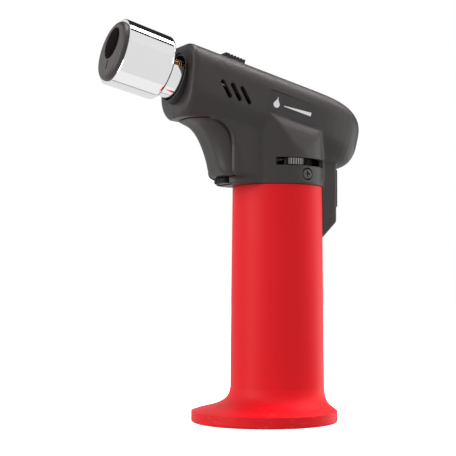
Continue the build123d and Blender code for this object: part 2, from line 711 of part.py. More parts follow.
def head_section(x, inset):
    """Section of the head at x: flat sides, smaller radii above than below, leaning at the nose."""
    depth = x - NOSE_X
    share = max(0.0, min(1.0, (x + 41.0) / (BACK_START + 37.0)))
    half = NOSE_HALF + (BACK_HALF - NOSE_HALF) * share
    half = half * closing(x, 2.3) - drawn_in(depth, NOSE_EDGE) - inset
    top = HEAD_MIDDLE + (HEAD_TOP - HEAD_MIDDLE) * closing(x, 3.4) - drawn_in(depth, NOSE_EDGE) - inset
    low = HEAD_MIDDLE + (HEAD_LOW - HEAD_MIDDLE) * closing(x, 2.5) + drawn_in(depth, CHIN_EDGE) + inset
    limit = 0.96 * min(half, (top - low) / 2)
    r_top = min(CORNER_TOP - inset, limit * 0.8)
    r_low = min(CORNER_LOW - inset, limit)
    lean = radians(NOSE_LEAN) * max(0.0, min(1.0, (STRAIGHT_FROM - x) / 9.0))
    across = Plane(origin=(x, 0, 0), x_dir=(0, 1, 0), z_dir=(cos(lean), 0, sin(lean)))
    outline = make_face(Polyline((-half, low), (half, low), (half, top), (-half, top), close=True))
    above = outline.vertices().group_by(Axis.Y)[-1]
    outline = fillet(above, r_top)
    below = [v for v in outline.vertices() if v.Y < low + 0.01]
    outline = fillet(below, r_low)
    return across * outline


def head_block(inset):
    """The head as a solid, drawn level: leaning nose, straight middle, bulbous back."""
    front = [NOSE_X + inset + depth for depth in (0.1, 0.35, 0.8, 1.5, 2.4, 3.4, 5.0, 7.0)]
    front += [-40.0, -38.0, -36.5, STRAIGHT_FROM, STRAIGHT_FROM + 1]
    back_span = BACK_END - BACK_START
    back = [BACK_START - 4, BACK_START - 2]
    back += [BACK_START + back_span * sin(radians(a)) for a in (0, 9, 18, 27, 36, 44, 52, 59, 65, 71, 77)]
    nose = loft([head_section(x, inset) for x in front])
    middle = loft([head_section(front[-1], inset), head_section(back[0], inset)])
    bulb = loft([head_section(x, inset) for x in back])
    solid = nose + middle + bulb
    if inset:
        solid &= block(NOSE_X, BACK_END - inset, -30, 30, -30, 30)
    return solid


def collar_block(inset):
    """Round neck over the handle, whose shoulder slopes up to a straight crease on the head's sides."""
    low = COLLAR_Z - (1 if inset else 0)
    collar = post(COLLAR_R - inset, low, HEAD_Z + 3)
    side = COLLAR_R + 0.1 - inset
    crease = (BACK_HALF - inset, CREASE - inset)
    bow = (BACK_HALF + 0.64 * (COLLAR_R - BACK_HALF) - inset, CREASE - 0.4 * (CREASE - SHOULDER_LOW) - inset)
    foot = (side, SHOULDER_LOW - inset)
    right = ThreePointArc(crease, bow, foot)
    left = ThreePointArc((-foot[0], foot[1]), (-bow[0], bow[1]), (-crease[0], crease[1]))
    below = Polyline(foot, (side, -60), (-side, -60), (-foot[0], foot[1]))
    ridge = Line((-crease[0], crease[1]), crease)
    across = Plane(origin=(-30, 0, 0), x_dir=(0, 1, 0), z_dir=(1, 0, 0))
    roof = extrude(across * make_face(Curve() + [right, below, left, ridge]), amount=60)
    return collar & head(roof)


def column_block(inset):
    """Front of the neck: a round ledge below, and two cheeks that take the trigger between them."""
    low = COLLAR_Z + (1.2 if inset else 0)
    top = COLUMN_TOP - inset
    front = COLUMN_X + inset
    half = COLUMN_HALF - inset
    cheek_top = TRIGGER_TOP - 5.7
    rounding = (
        (low, 12.0),
        (COLLAR_Z + 3.0, 10.5),
        (COLLAR_Z + 6.5, 6.0),
        (COLLAR_Z + 10.0, 2.6),
        (cheek_top, 2.6),
    )
    sections = [plan_section(z, front, 0.0, half, r - inset) for z, r in rounding]
    body = loft(sections[:-1]) + loft(sections[-2:])
    points = [
        (0.0, cheek_top),
        (front, cheek_top),
        (front - 6.4, TRIGGER_TOP - 1.2),
        (front - 6.4, top),
        (0.0, top),
    ]
    return body + side_plate(points, half)


def spine_block(inset):
    """Slab behind the handle that carries the web of the hand."""
    x1 = SPINE_X - inset
    low = SPINE_LOW + inset
    points = [(12.0, low), (x1 - SPINE_CUT, low), (x1, low + SPINE_CUT), (x1, SPINE_TOP), (12.0, SPINE_TOP)]
    body = side_plate(points, SPINE_HALF - inset)
    if not inset:
        body = fillet(body.edges().filter_by(Axis.Z).sort_by(Axis.X)[-2:], 1.2)
    return body


def boss_places():
    """Upright places of the three housing screws: chin, back and spine."""
    chin = head(Vertex(-42.0, 0, -14.0)).center()
    back = head(Vertex(30.0, 0, -1.0)).center()
    return [(chin.X, chin.Z), (back.X, back.Z), (SPINE_X - 3.8, HANDLE_TOP_Z - 6.5)]


def vents():
    """Three slanted air slots through each side of the head."""
    cutter = None
    for x, z in VENTS:
        slot = Plane(origin=(x, 0, z), x_dir=(1, 0, -1), z_dir=(0, -1, 0)) * SlotOverall(8.2, 1.8)
        hole = extrude(slot, amount=40, both=True)
        cutter = hole if cutter is None else cutter + hole
    return head(cutter)


def housing():
    """Both halves in one: shell, bosses and every opening."""
    outer = head(head_block(0)) + collar_block(0) + column_block(0) + spine_block(0)
    inner = head(head_block(WALL)) + collar_block(WALL) + column_block(WALL) + spine_block(WALL)
    shell = outer - inner
    for x, z in boss_places():
        shell += rod_y(BOSS_R, -16, 16, x, z) & outer
    inner_half = COLUMN_HALF - WALL
    for side in (-1, 1):
        near, far = sorted((side * (SPRING_Y - 2.9), side * (inner_half + 0.5)))
        shell += block(SPRING_SEAT + 0.1, SPRING_SEAT + 1.8, near, far, SPRING_Z - 4, SPRING_Z + 4)
    shell -= post(HANDLE_TOP_R + 0.45, SPINE_LOW - 10, COLLAR_Z)
    ledge_top = TRIGGER_LOW - APART
    shell += block(COLUMN_X, COLUMN_FOOT_X + 1.5, -8.0, 8.0, COLLAR_Z, ledge_top) & outer
    shell -= block(-50.0, COLUMN_X + WALL + 1, -inner_half, inner_half, ledge_top, TRIGGER_TOP + APART)
    pulled = TRIGGER_BACK + TRIGGER_TRAVEL + APART
    shell -= block(COLUMN_X, pulled, -inner_half, inner_half, ledge_top, TRIGGER_TOP + APART)
    foot_x = COLUMN_FOOT_X
    pocket = LOCK_HALF + LOCK_TRAVEL + APART
    shell -= block(-50.0, foot_x, -pocket, pocket, COLLAR_Z - 1, TRIGGER_LOW)
    shell += block(foot_x, foot_x + 1.5, -inner_half, inner_half, COLLAR_Z, ledge_top) & outer
    reach = TONGUE_HALF + LOCK_TRAVEL + APART
    shell -= block(foot_x - 1, foot_x + 4.2, -reach, reach, TONGUE_LOW - APART, TONGUE_TOP + APART)
    shell -= head(rod_x(MOUTH_R, -60, NOSE_X + MOUTH_DEPTH, z=MOUTH_UP) & block(-60, -40, -20, 20, -20, 9))
    shell -= sector(COLLAR_R + 1, COLLAR_R - WALL - 0.5, SLOT_FROM, SLOT_TO, SLOT_Z, SLOT_Z + SLOT_H)
    shell -= vents()
    shell -= head(block(STEM_X0 - APART, STEM_X1 + BUTTON_TRAVEL + APART, -1.6, 1.6, 5, 20))
    x0, x1, z0, z1 = LABEL
    plate = Pos((x0 + x1) / 2, 0, (z0 + z1) / 2) * Box(x1 - x0, 60, z1 - z0)
    plate = fillet(plate.edges().filter_by(Axis.Y), 1.2)
    shell -= head(plate & block(-30, 30, -40, LABEL_SEAT, -20, 20))
    for side in (-1, 1):
        reach = sorted((side * (COLLAR_R - 4.5), side * (COLLAR_R + 10)))
        shell -= rod_y(SCREW_HEAD_R + 0.45, *reach, COLLAR_SCREW_X, COLLAR_SCREW_Z)
    for x, z in boss_places():
        shell -= rod_y(SCREW_R + 0.05, -5, 5, x, z)
        shell -= rod_y(SCREW_HEAD_R + 0.3, 4, 30, x, z)
    return shell


def housing_screws():
    """All the housing's screws are one kind: two in the collar, three from the right side."""
    screws = []
    for side in (-1, 1):
        turn = Rot(90 * side, 0, 0)
        screws.append(Pos(COLLAR_SCREW_X, side * (COLLAR_R - 1.9), COLLAR_SCREW_Z) * turn * screw(SCREW_LENGTH))
    for x, z in boss_places():
        screws.append(Pos(x, 4.0, z) * Rot(90, 0, 0) * screw(SCREW_LENGTH))
    return Compound(screws)


def label_plate():
    """Thin plate in the side recess with a plain flame mark and a tapering bar."""
    x0, x1, z0, z1 = LABEL
    gap = 0.12
    y0 = LABEL_SEAT
    y1 = y0 - 0.35
    plate = block(x0 + gap, x1 - gap, y1, y0, z0 + gap, z1 - gap)
    plate = fillet(plate.edges().filter_by(Axis.Y), 1.1)
    return head(plate)


def spine_pad():
    """Thin pad let into the back of the spine."""
    pad = block(SPINE_X, SPINE_X + 1.6, -6.0, 6.0, PAD_LOW, PAD_TOP)
    pad = chamfer(pad.edges().group_by(Axis.X)[-1], 0.6)
    return pad


def make_parts():
    """Every sub-part by name."""
    shell = housing()
    left = shell & block(-120, 120, -60, -SEAM, 0, 260)
    right = shell & block(-120, 120, SEAM, 60, 0, 260)
    return {
        "handle_shell": handle_shell(),
        "base_plate": base_plate(),
        "base_screws": base_screws(),
        "fuel_tank": fuel_tank(),
        "tank_cap": tank_cap(),
        "tank_ring": tank_ring(),
        "fill_valve_body": fill_valve_body(),
        "fill_valve_seal": fill_valve_seal(),
        "fill_valve_stem": fill_valve_stem(),
        "fill_valve_spring": fill_valve_spring(),
        "dip_tube": dip_tube(),
        "gas_valve_body": gas_valve_body(),
        "valve_stem": valve_stem(),
        "valve_spring": valve_spring(),
        "gas_adjuster": gas_adjuster(),
        "adjuster_clip": adjuster_clip(),
        "gas_rocker": gas_rocker(),
        "piezo_body": piezo_body(),
        "piezo_plunger": piezo_plunger(),
        "ignition_lead": ignition_lead(),
        "spark_insulator": spark_insulator(),
        "electrode": electrode(),
        "flame_guard": flame_guard(),
        "nose_insert": nose_insert(),
        "flame_tube": flame_tube(),
        "burner_tube": burner_tube(),
        "gas_jet": gas_jet(),
        "gas_tube": gas_tube(),
        "neck_trough": neck_trough(),
        "mouth_ring": mouth_ring(),
        "air_collar": air_collar(),
        "air_slider": air_slider(),
        "trigger": trigger(),
        "trigger_springs": trigger_springs(),
        "safety_lock": safety_lock(),
        "housing_left": left,
        "housing_right": right,
        "housing_screws": housing_screws(),
        "label_plate": label_plate(),
        "spine_pad": spine_pad(),
    }


for name, shape in make_parts().items():
    export_step(shape, f"parts/{name}.step")
    print(name, shape.is_valid, round(shape.volume, 1), shape.bounding_box())
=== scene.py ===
# %% [markdown]
# # Butane torch for the jeweller's bench
# The torch's working pieces come from the measured CAD frame and keep their exact places.
# The outer moulding is modelled again here, because the real housing is one soft, flowing form
# whose faces run into each other, and that is easier to shape as a surface than as a solid.

import json
from math import cos, radians, sin

import bpy
from mathutils import Matrix, Vector

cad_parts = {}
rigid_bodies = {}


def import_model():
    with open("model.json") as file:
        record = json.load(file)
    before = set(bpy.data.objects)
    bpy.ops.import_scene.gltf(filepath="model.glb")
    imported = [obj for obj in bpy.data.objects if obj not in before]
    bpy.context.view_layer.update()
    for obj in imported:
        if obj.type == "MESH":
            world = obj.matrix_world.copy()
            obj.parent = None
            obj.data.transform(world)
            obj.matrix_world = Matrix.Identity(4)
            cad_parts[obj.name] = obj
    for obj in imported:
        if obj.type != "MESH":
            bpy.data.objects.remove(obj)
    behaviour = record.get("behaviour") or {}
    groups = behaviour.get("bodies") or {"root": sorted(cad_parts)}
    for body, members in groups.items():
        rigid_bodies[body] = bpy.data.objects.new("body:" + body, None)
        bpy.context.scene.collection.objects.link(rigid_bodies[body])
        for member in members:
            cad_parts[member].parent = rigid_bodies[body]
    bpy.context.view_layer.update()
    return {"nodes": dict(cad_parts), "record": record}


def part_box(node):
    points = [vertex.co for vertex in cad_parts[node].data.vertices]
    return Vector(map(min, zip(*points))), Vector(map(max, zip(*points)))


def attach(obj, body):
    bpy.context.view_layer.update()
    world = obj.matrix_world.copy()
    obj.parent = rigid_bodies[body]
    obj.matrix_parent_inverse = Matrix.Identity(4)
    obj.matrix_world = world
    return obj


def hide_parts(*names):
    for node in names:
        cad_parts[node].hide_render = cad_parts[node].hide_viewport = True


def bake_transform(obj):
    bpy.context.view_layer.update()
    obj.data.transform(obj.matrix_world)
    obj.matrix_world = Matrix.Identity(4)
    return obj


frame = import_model()
record = frame["record"]
print("pieces in the frame:", len(frame["nodes"]))

# %% [markdown]
# The main sizes. Blender counts in metres, so MM turns a millimetre into one. The head is drawn
# level, its long axis on X and its middle at height zero, and is tipped by HEAD_TILT into its
# place above the handle. The sizes that the helpers below take are in millimetres.

# %% Sizes
MM = 0.001
HEAD_TILT = radians(13.9)
HEAD_Z = 131.2 * MM
WALL = 1.8 * MM
SEAM = 0.11 * MM
VOXEL = 0.42 * MM
SIDEWAYS = (radians(90), 0, 0)

COLLAR_FOOT = 98.6
COLLAR_R = 19.5
COLUMN_FRONT = -27.8
COLUMN_HALF = 12.6
WELL_HALF = 10.6
WELL_LOW = 101.35
WELL_TOP = 124.85
HEAD_HALF = 14.2


# %% [markdown]
# A few short helpers. Each one wraps one thing that would be done by hand in the viewport. The
# first ones pick some faces, edges or points, and write a place or a turn into the mesh.

# %% Picking
def only(*objects):
    """Selects these objects and nothing else."""
    bpy.ops.object.select_all(action="DESELECT")
    for item in objects:
        item.select_set(True)
    bpy.context.view_layer.objects.active = objects[0]


def choose(obj, kind, test):
    """Opens edit mode with only the elements whose middle (and direction) pass the test."""
    only(obj)
    bpy.ops.object.mode_set(mode="EDIT")
    bpy.ops.mesh.select_mode(type=kind)
    bpy.ops.mesh.select_all(action="DESELECT")
    bpy.ops.object.mode_set(mode="OBJECT")
    mesh = obj.data
    if kind == "FACE":
        for face in mesh.polygons:
            face.select = test(face.center, face.normal)
    elif kind == "EDGE":
        for edge in mesh.edges:
            a, b = (mesh.vertices[i].co for i in edge.vertices)
            edge.select = test((a + b) / 2, (b - a).normalized())
    else:
        for vertex in mesh.vertices:
            vertex.select = test(vertex.co, vertex.normal)
    bpy.ops.object.mode_set(mode="EDIT")


def done():
    """Leaves edit mode."""
    bpy.ops.object.mode_set(mode="OBJECT")


def freeze(obj):
    """Writes the object's place, turn and size into its mesh."""
    only(obj)
    bpy.ops.object.transform_apply(location=True, rotation=True, scale=True)


# %% [markdown]
# Every piece starts as a block between two corners or as a rod, and then gets its edges rounded.

# %% Blocks and rods
def block(name, low, high):
    """Box between two corners given in millimetres."""
    middle = [(a + b) / 2 * MM for a, b in zip(low, high)]
    size = [(b - a) * MM for a, b in zip(low, high)]
    bpy.ops.mesh.primitive_cube_add(size=1, location=middle, scale=size)
    obj = bpy.context.object
    obj.name = name
    freeze(obj)
    return obj


def rod(name, radius, place, length, turn=(0, 0, 0), sides=64):
    """Cylinder whose middle is at the place, in millimetres, along Z before it is turned."""
    spot = [v * MM for v in place]
    bpy.ops.mesh.primitive_cylinder_add(
        vertices=sides, radius=radius * MM, depth=length * MM, location=spot, rotation=turn
    )
    obj = bpy.context.object
    obj.name = name
    freeze(obj)
    return obj


def bevel(obj, width, segments, test):
    """Rounds the edges that pass the test."""
    choose(obj, "EDGE", test)
    bpy.ops.mesh.bevel(offset=width * MM, segments=segments, affect="EDGES")
    done()


def tip(*objects):
    """Turns level-drawn pieces into the head's place."""
    for obj in objects:
        obj.rotation_euler = (0, HEAD_TILT, 0)
        obj.location = (0, 0, HEAD_Z)
        freeze(obj)


# %% [markdown]
# Pieces are joined, cut by each other, or copied. A modifier is applied as soon as it is set.

# %% Joining and cutting
def join(name, *objects):
    """Makes one object of several."""
    only(*objects)
    bpy.ops.object.join()
    objects[0].name = name
    return objects[0]


def modify(obj, kind, **settings):
    """Adds a modifier, sets it and applies it."""
    only(obj)
    modifier = obj.modifiers.new(kind.lower(), kind)
    for key, value in settings.items():
        setattr(modifier, key, value)
    bpy.ops.object.modifier_apply(modifier=modifier.name)


def combine(obj, other, operation, solver="MANIFOLD"):
    """Cuts, joins or crosses two solids and removes the second."""
    modify(obj, "BOOLEAN", object=other, operation=operation, solver=solver)
    bpy.data.objects.remove(other, do_unlink=True)


def twin(obj, name):
    """A copy with its own mesh."""
    only(obj)
    bpy.ops.object.duplicate()
    copy = bpy.context.object
    copy.name = name
    return copy


def smooth(obj, angle=35):
    """Smooth shading with creases where faces meet sharply."""
    only(obj)
    bpy.ops.object.shade_smooth_by_angle(angle=radians(angle))


# %% [markdown]
# ## The housing
# On the real torch the head, the collar over the handle, the cheeks of the trigger and the heel
# behind the handle are one moulding in two halves. A few simple solids are shaped first, then
# melted into one skin, so that every inner corner gets the soft blend a moulding has. The head
# comes first: a bevelled block whose back end is drawn out in steps and rounded off.

# %% Head block
NOSE = -49.1
BACK = 13.0
BACK_LENGTH = 27.4
TOP = 12.4
LOW = -18.9
MIDDLE = -3.0

NOSE_HALF = 15.5
CORNER_TOP = 9
CORNER_LOW = 13

head = block("head", (NOSE, -HEAD_HALF, LOW), (BACK, HEAD_HALF, TOP))
bevel(head, CORNER_TOP, 10, lambda c, d: abs(d.x) > 0.9 and c.z > 0)
bevel(head, CORNER_LOW, 12, lambda c, d: abs(d.x) > 0.9 and c.z < -0.018)
choose(head, "VERT", lambda c, n: c.x < (NOSE + 0.1) * MM)
bpy.ops.transform.resize(value=(1, NOSE_HALF / HEAD_HALF, 1), center_override=(NOSE * MM, 0, MIDDLE * MM))
done()


def closing(share, power):
    """How much of the full section is left at this share of the way to the back end."""
    return (1 - share**power) ** (1 / power)


choose(head, "FACE", lambda c, n: n.x > 0.9)
last = (1.0, 1.0, 1.0)
reached = BACK
for angle in (9, 18, 27, 36, 44, 52, 59, 65, 71, 77, 83):
    share = sin(radians(angle))
    x = BACK + BACK_LENGTH * share
    now = (closing(share, 2.3), closing(share, 3.4), closing(share, 2.5))
    bpy.ops.mesh.extrude_region_move(TRANSFORM_OT_translate={"value": ((x - reached) * MM, 0, 0)})
    rise = 0.5 * (now[1] / last[1] + now[2] / last[2])
    bpy.ops.transform.resize(value=(1, now[0] / last[0], rise), center_override=(x * MM, 0, MIDDLE * MM))
    last = now
    reached = x
done()
print("head", [round(v / MM, 1) for v in head.dimensions])

# %% [markdown]
# The nose's face leans forward at its top. Its corner is bevelled small, so that it catches one
# narrow streak of light.

# %% Nose
NOSE_LEAN = radians(9.4)
NOSE_EDGE = 2.2
choose(head, "VERT", lambda c, n: c.x < (NOSE + 0.1) * MM)
bpy.ops.transform.rotate(value=NOSE_LEAN, orient_axis="Y", center_override=(NOSE * MM, 0, 0))
done()
top_x = min(v.co.x for v in head.data.vertices if v.co.z > 0.008)
print("nose top at", round(top_x / MM, 2))
bevel(head, NOSE_EDGE, 5, lambda c, d: c.x < -0.0455 and abs(d.x) < 0.6)
tip(head)

# %% [markdown]
# The collar is a plain round neck. Its shoulder is crossed with a roof-shaped prism that lies
# along the head, which gives the straight crease under the side panel and the slope below it.

# %% Collar and its shoulder
COLLAR_TOP = 134.2
ROOF_HALF = 19.6
ROOF_LOW = -18.5
ROOF_STEPS = ((19.1, -15.6), (18.3, -12.6), (17.3, -9.8), (15.9, -7.4), (14.0, -5.4))

collar_middle = (COLLAR_FOOT + COLLAR_TOP) / 2
collar = rod("collar", COLLAR_R, (0, 0, collar_middle), COLLAR_TOP - COLLAR_FOOT, sides=160)
roof = block("roof", (-30, -ROOF_HALF, -60), (30, ROOF_HALF, ROOF_LOW))
choose(roof, "FACE", lambda c, n: n.z > 0.9)
width = ROOF_HALF
height = ROOF_LOW
for next_width, next_height in ROOF_STEPS:
    bpy.ops.mesh.extrude_region_move(TRANSFORM_OT_translate={"value": (0, 0, (next_height - height) * MM)})
    bpy.ops.transform.resize(value=(1, next_width / width, 1), center_override=(0, 0, next_height * MM))
    width = next_width
    height = next_height
done()
tip(roof)
combine(collar, roof, "INTERSECT")
print("collar", [round(v / MM, 1) for v in collar.dimensions])

# %% [markdown]
# The two cheeks stand beside the trigger. They are one block here, because the trigger's well is
# cut out of it later. Below them a round ledge closes the bottom, and above them a bridge with a
# hollowed corner leads the cheek's edge forward under the head in a quarter circle.

# %% Cheeks
LEDGE_X = -15.2
ledge = rod("ledge", COLUMN_HALF, (LEDGE_X, 0, 104.6), 12.0, sides=96)
choose(ledge, "FACE", lambda c, n: n.z > 0.9)
bpy.ops.transform.resize(value=(0.96, 1, 1), center_override=(LEDGE_X * MM, 0, 0))
done()
cheeks = block("cheeks", (COLUMN_FRONT, -COLUMN_HALF, 101.0), (0, COLUMN_HALF, 125.5))
bevel(cheeks, 2.2, 4, lambda c, d: abs(d.z) > 0.9 and c.x < -0.02)
bevel(cheeks, 3.2, 4, lambda c, d: c.x < -0.0135 and c.z < 0.1015 and abs(d.z) < 0.5)
base = block("base", (LEDGE_X, -COLUMN_HALF, COLLAR_FOOT), (0, COLUMN_HALF, 104.0))
bridge = block("bridge", (-37.2, -COLUMN_HALF, 114.5), (-20, COLUMN_HALF, 126.0))
bevel(bridge, 2.4, 4, lambda c, d: abs(d.z) > 0.9 and c.x < -0.03)
hollow = rod("hollow", 8.9, (-36.8, 0, 115.0), 60.0, SIDEWAYS, sides=96)
combine(bridge, hollow, "DIFFERENCE")
print("cheeks", [round(v / MM, 1) for v in cheeks.dimensions])

# %% [markdown]
# The heel is the flat spine that runs down behind the handle. Its lower end is cut at a slant.

# %% Heel
HEEL_HALF = 8
heel = block("heel", (12, -HEEL_HALF, 77), (25.4, HEEL_HALF, 114))
bevel(heel, 7.2, 1, lambda c, d: abs(d.y) > 0.9 and c.x > 0.02 and c.z < 0.08)
bevel(heel, 1.2, 3, lambda c, d: c.x > 0.0125 and abs(d.y) < 0.3 and abs(c.y) > 0.0079)
print("heel", [round(v / MM, 1) for v in heel.dimensions])

# %% [markdown]
# The solids are melted together on a fine grid and relaxed, which rounds the inner corners. The
# shoulder and the cheeks are relaxed once more, because they flow most. A copy, drawn in by the
# wall's thickness, is taken out of the middle so the moulding is hollow.

# %% Melt and hollow
skin = join("housing", head, collar, ledge, cheeks, base, bridge, heel)
modify(skin, "REMESH", mode="VOXEL", voxel_size=VOXEL)
modify(skin, "SMOOTH", factor=0.5, iterations=12)


def soft_zone(place, normal):
    """The shoulder below the crease and the cheeks: the parts that flow most on the real head."""
    rise = place.x * sin(HEAD_TILT) + (place.z - HEAD_Z) * cos(HEAD_TILT)
    return rise < -7.5 * MM and 0.101 < place.z < 0.128 and -0.030 < place.x < 0.024


choose(skin, "VERT", soft_zone)
bpy.ops.mesh.vertices_smooth(factor=0.5, repeat=16)
done()
solid = twin(skin, "solid")
cavity = twin(skin, "cavity")
modify(cavity, "DISPLACE", strength=-WALL, mid_level=0.0)
modify(cavity, "REMESH", mode="VOXEL", voxel_size=2 * VOXEL)
combine(skin, cavity, "DIFFERENCE")
print("housing faces", len(skin.data.polygons))

# %% [markdown]
# Three screws go in from the right side. Each one needs a solid post inside the hollow moulding.
# A post is a rod crossed with the solid copy of the skin, so its end follows the outer surface.

# %% Screw posts of the right half
BOSSES = ((-44.1, 127.7), (28.9, 123.0), (21.6, 92.0))
BOSS_R = 3.4
for x, z in BOSSES:
    boss = rod("boss", BOSS_R, (x, 11.0, z), 20.0, SIDEWAYS, 48)
    combine(boss, twin(solid, "outside"), "INTERSECT")
    combine(skin, boss, "UNION")
bpy.data.objects.remove(solid, do_unlink=True)
print("screw posts", len(BOSSES))

# %% [markdown]
# The openings are cut last, so their rims stay crisp. These cutters are drawn level with the head
# and tipped with it: the mouth, the button's slot, the three vents and the label's recess.

# %% Cutters of the head
MOUTH_R = 10.6
VENTS = ((-32.8, -3.1), (-28.1, -2.9), (-23.5, -2.8))
VENT_HALF = 4.1
VENT_WIDE = 0.95

mouth = rod("mouth", MOUTH_R, (-52.0, 0, -1.8), 14.6, (0, radians(90), 0), 96)
combine(mouth, block("mouth_top", (-80, -20, 9), (-40, 20, 30)), "DIFFERENCE")
button = block("button", (-31.55, -1.6, 4), (-23.35, 1.6, 20))
vents = []
for x, z in VENTS:
    vent = block("vent", (x - VENT_HALF, -30, z - VENT_WIDE), (x + VENT_HALF, 30, z + VENT_WIDE))
    bevel(vent, 0.85, 4, lambda c, d: abs(d.y) > 0.9)
    only(vent)
    bpy.ops.object.mode_set(mode="EDIT")
    bpy.ops.mesh.select_all(action="SELECT")
    bpy.ops.transform.rotate(value=radians(-45), orient_axis="Y", center_override=(x * MM, 0, z * MM))
    done()
    vents.append(vent)
label = block("label", (-13.3, -20, -5.4), (12.0, -14.1, 3.7))
bevel(label, 1.2, 4, lambda c, d: abs(d.y) > 0.9)
tip(mouth, button, *vents, label)
print("cutters of the head", 3 + len(vents))

# %% [markdown]
# The lower cutters stand upright: the space round the handle, the flat bottom of the collar, the
# well that the trigger moves in, and the pocket and the way of the cross-slide below it.

# %% Cutters of the neck
POCKET_HALF = 5.85
TONGUE_HALF = 4.45
clearance = rod("clearance", 19.45, (0, 0, 50 + COLLAR_FOOT / 2 - 25), COLLAR_FOOT - 50, sides=160)
under = block("under", (-40, -21, 60), (11, 21, COLLAR_FOOT))
well = block("well", (-52, -WELL_HALF, WELL_LOW), (-24.8, WELL_HALF, WELL_TOP))
pocket = block("pocket", (-52, -POCKET_HALF, 97), (-23.7, POCKET_HALF, 101.8))
shaft = block("shaft", (-26, -WELL_HALF, WELL_LOW), (-17.95, WELL_HALF, WELL_TOP))
tongue_way = block("tongue_way", (-25, -TONGUE_HALF, 99.55), (-19.5, TONGUE_HALF, 101.05))

# %% [markdown]
# The flame adjuster's slot follows the collar round. A small upright plane is spun about the
# handle's axis, which sweeps it into a curved bar.

# %% Slot cutter
SLOT_LOW = 106.3
SLOT_H = 3.3
SLOT_START = radians(-33)
SLOT_SWEEP = radians(88.5)

bpy.ops.mesh.primitive_plane_add(size=1)
slot = bpy.context.object
slot.name = "slot"
slot.scale = (4 * MM, SLOT_H * MM, 1)
slot.rotation_euler = SIDEWAYS
slot.location = (19.2 * MM, 0, (SLOT_LOW + SLOT_H / 2) * MM)
freeze(slot)
slot.rotation_euler = (0, 0, SLOT_START)
freeze(slot)
choose(slot, "FACE", lambda c, n: True)
bpy.ops.mesh.spin(steps=30, angle=SLOT_SWEEP, center=(0, 0, 0), axis=(0, 0, 1))
bpy.ops.mesh.select_all(action="SELECT")
bpy.ops.mesh.normals_make_consistent(inside=False)
done()
print("slot from", [round(v / MM, 1) for v in slot.bound_box[0]], [round(v / MM, 1) for v in slot.bound_box[6]])

# %% [markdown]
# Each cutter is taken out of the skin in turn, together with the sinks of the screws: one on each
# side of the collar, and three on the right.

# %% Cut the openings
cutters = [mouth, button, *vents, label, clearance, under, well, shaft, pocket, tongue_way, slot]
for side in (-1, 1):
    cutters.append(rod("sink", 2.65, (3.4, side * 21.0, 102.9), 7.0, SIDEWAYS, 40))
for x, z in BOSSES:
    cutters.append(rod("sink", 2.5, (x, 19.0, z), 30.0, SIDEWAYS, 40))
for cutter in cutters:
    combine(skin, cutter, "DIFFERENCE")
print("housing faces after cutting", len(skin.data.polygons))

# %% [markdown]
# The moulding is parted down the middle. A fine line stays open between the halves, as on the
# real one, where it shows at the chin and along the ridge.

# %% Two halves
halves = {}
for name, side in (("left", -1), ("right", 1)):
    half = twin(skin, "moulding_" + name)
    only(half)
    bpy.ops.object.mode_set(mode="EDIT")
    bpy.ops.mesh.select_all(action="SELECT")
    bpy.ops.mesh.bisect(
        plane_co=(0, side * SEAM, 0), plane_no=(0, side, 0), use_fill=True, clear_inner=True, clear_outer=False
    )
    done()
    halves[name] = half
    smooth(half)
    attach(half, "torch")
    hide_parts("housing_" + name)
    print(half.name, len(half.data.polygons), [round(v / MM, 1) for v in half.dimensions])
bpy.data.objects.remove(skin, do_unlink=True)

# %% [markdown]
# ## The side mark
# The recess on the left side carries a thin plate. A plain pictogram is printed on it in pale
# ink: a small flame and a tapering bar for "more or less flame". It has no lettering.

# %% Flame and bar
def leaf(name, place, width, height, thick):
    """Drop-shaped outline standing on the side plate, its point upwards."""
    spot = [v * MM for v in place]
    bpy.ops.mesh.primitive_circle_add(
        vertices=32, radius=0.5 * width * MM, fill_type="NGON", location=spot, rotation=SIDEWAYS
    )
    drop = bpy.context.object
    drop.name = name
    freeze(drop)
    stretch = (height / width - 1) * 0.62
    for rise, pinch in ((0.10, 0.92), (0.24, 0.82), (0.36, 0.66), (0.45, 0.30)):
        choose(drop, "VERT", lambda c, n: c.z / MM - place[2] > rise * width)
        bpy.ops.transform.resize(value=(pinch, 1, 1), center_override=(place[0] * MM, 0, 0))
        bpy.ops.transform.translate(value=(0.02 * width * MM, 0, stretch * width * MM * 0.4))
        done()
    choose(drop, "FACE", lambda c, n: True)
    bpy.ops.mesh.extrude_region_move(TRANSFORM_OT_translate={"value": (0, -thick * MM, 0)})
    bpy.ops.mesh.select_all(action="SELECT")
    bpy.ops.mesh.normals_make_consistent(inside=False)
    done()
    return drop


# %% [markdown]
# A smaller drop is cut out of the lower part of the flame, and the bar is a thin block with one
# end pressed narrow.

# %% Print on the plate
PLATE_FACE = -14.44
flame = leaf("flame", (-8.6, PLATE_FACE, -1.7), 2.9, 4.6, 0.07)
heart = leaf("heart", (-8.5, -14.60, -1.9), 1.1, 1.9, 0.4)
heart.location.y = 0.5 * MM
freeze(heart)
combine(flame, heart, "DIFFERENCE", "EXACT")
bar = block("bar", (-5.0, -14.51, -1.5), (8.4, PLATE_FACE, 0.1))
choose(bar, "FACE", lambda c, n: n.x < -0.9)
bpy.ops.transform.resize(value=(1, 1, 0.2), center_override=(-5.0 * MM, 0, -1.5 * MM))
done()
mark = join("side_mark", flame, bar)
tip(mark)
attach(mark, "torch")
print("mark", [round(v / MM, 2) for v in mark.dimensions])
